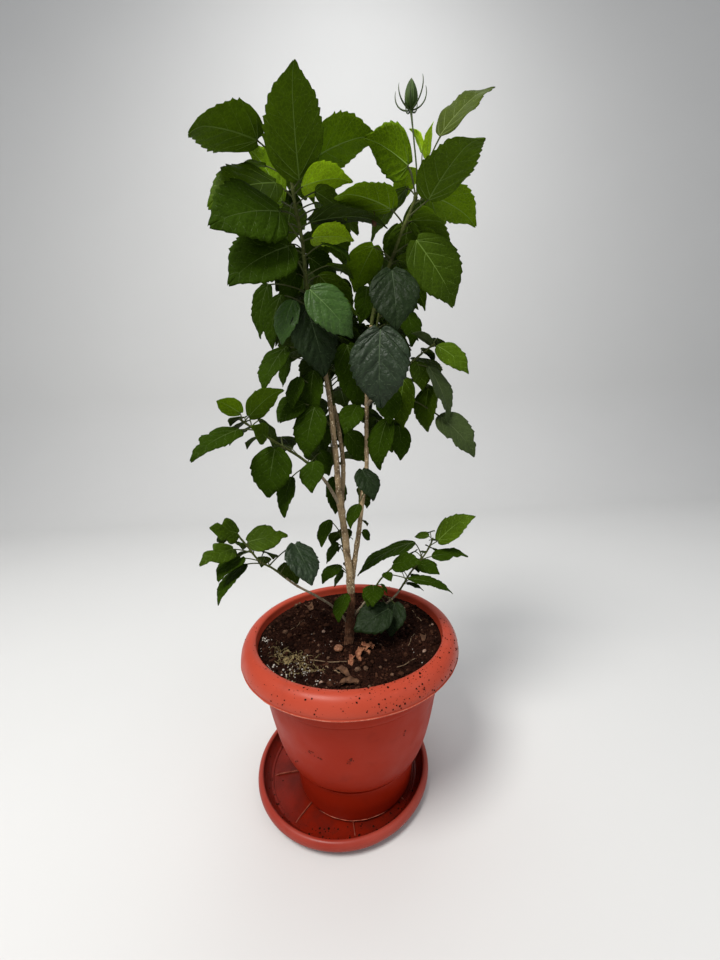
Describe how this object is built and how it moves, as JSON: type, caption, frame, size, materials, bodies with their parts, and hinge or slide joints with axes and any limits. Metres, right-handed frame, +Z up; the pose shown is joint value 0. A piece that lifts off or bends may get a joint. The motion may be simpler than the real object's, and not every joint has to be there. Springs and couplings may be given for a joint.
{
  "type": "potted hibiscus shrub",
  "caption": "Young potted shrub with slender forked stems, broad pointed leaves and a closed flower bud, in a round pot with a rolled rim on a ribbed saucer.",
  "frame": {"origin": "on the ground under the pot's axis, in the flat underside of the saucer", "axes": "+Z up, +X to the right and +Y away from someone who sees the plant from the front"},
  "size_m": [0.3607, 0.3, 0.918],
  "materials": {
    "pot_plastic": "satin, scuffed, dusted with soil",
    "saucer_plastic": "satin, wet and stained inside",
    "soil": "rough, crumbly",
    "bark": "matte, with small pale pores",
    "leaf": "waxy, semi gloss, veined"
  },
  "bodies": {
    "root": {"saucer": "saucer_plastic", "pot": "pot_plastic", "soil": "soil", "trunk": "bark", "bough_right": "bark", "bough_middle": "bark", "arm_left": "bark", "arm_right": "bark", "shoot_ground_left": "bark", "shoot_ground_near": "bark", "shoot_ground_far": "bark", "foliage_left_top": "leaf", "foliage_right_top": "leaf", "foliage_middle": "leaf", "foliage_left_arm": "leaf", "foliage_right_arm": "leaf", "foliage_ground_left": "leaf", "foliage_ground_near": "leaf", "foliage_ground_far": "leaf", "foliage_left_front": "leaf", "foliage_right_front": "leaf", "foliage_right_back": "leaf", "spray_trunk_left": "leaf", "spray_middle_right": "leaf", "spray_middle_left": "leaf", "spray_right_low": "leaf", "spray_right_small": "leaf", "spray_right_front": "leaf", "spray_trunk_low": "leaf", "spray_foot": "leaf"}
  },
  "joints": []
}
